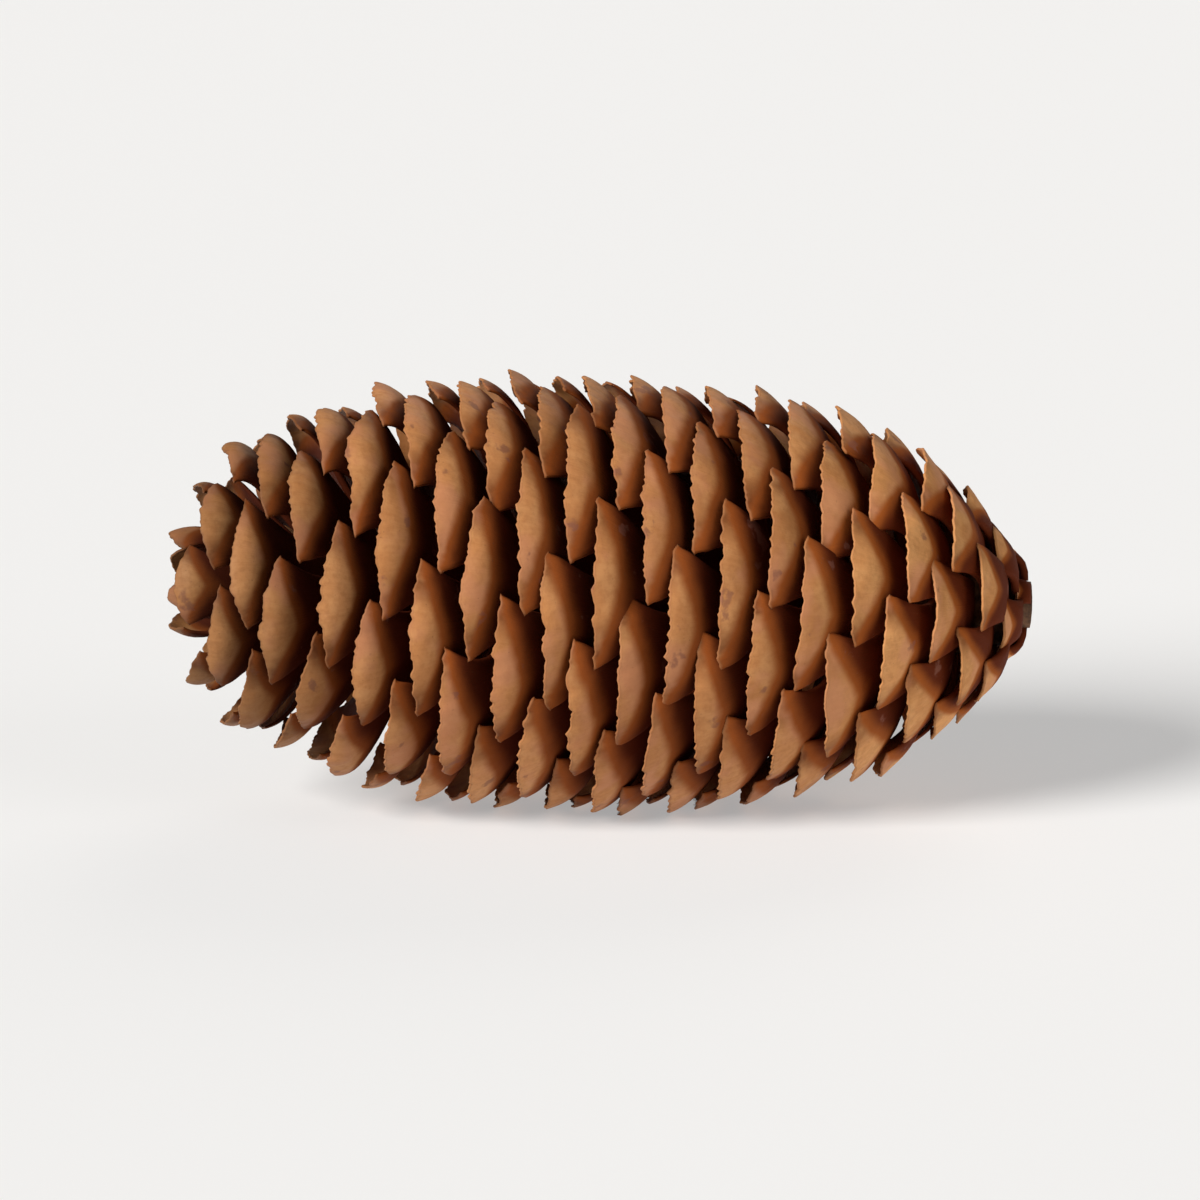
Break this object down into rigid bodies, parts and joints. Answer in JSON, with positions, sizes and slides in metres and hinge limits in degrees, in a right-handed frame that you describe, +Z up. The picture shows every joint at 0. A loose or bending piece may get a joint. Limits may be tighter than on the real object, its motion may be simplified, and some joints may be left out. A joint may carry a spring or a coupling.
{
  "type": "spruce cone",
  "caption": "Dry spruce cone lying on its side, with thin, blunt, ragged scales set in spirals round a woody axis and a short stub of stalk.",
  "frame": {"origin": "on the surface the cone rests on, under the middle of its bounding box", "axes": "+X towards the stalk end along the cone, -X towards the tip, +Z up; the long axis dips by under 3 degrees"},
  "size_m": [0.0846, 0.0434, 0.0429],
  "materials": {
    "dry_scale": "matt, dry, orange-tan with darker roots"
  },
  "bodies": {
    "root": {"cone": "dry_scale"}
  },
  "joints": []
}
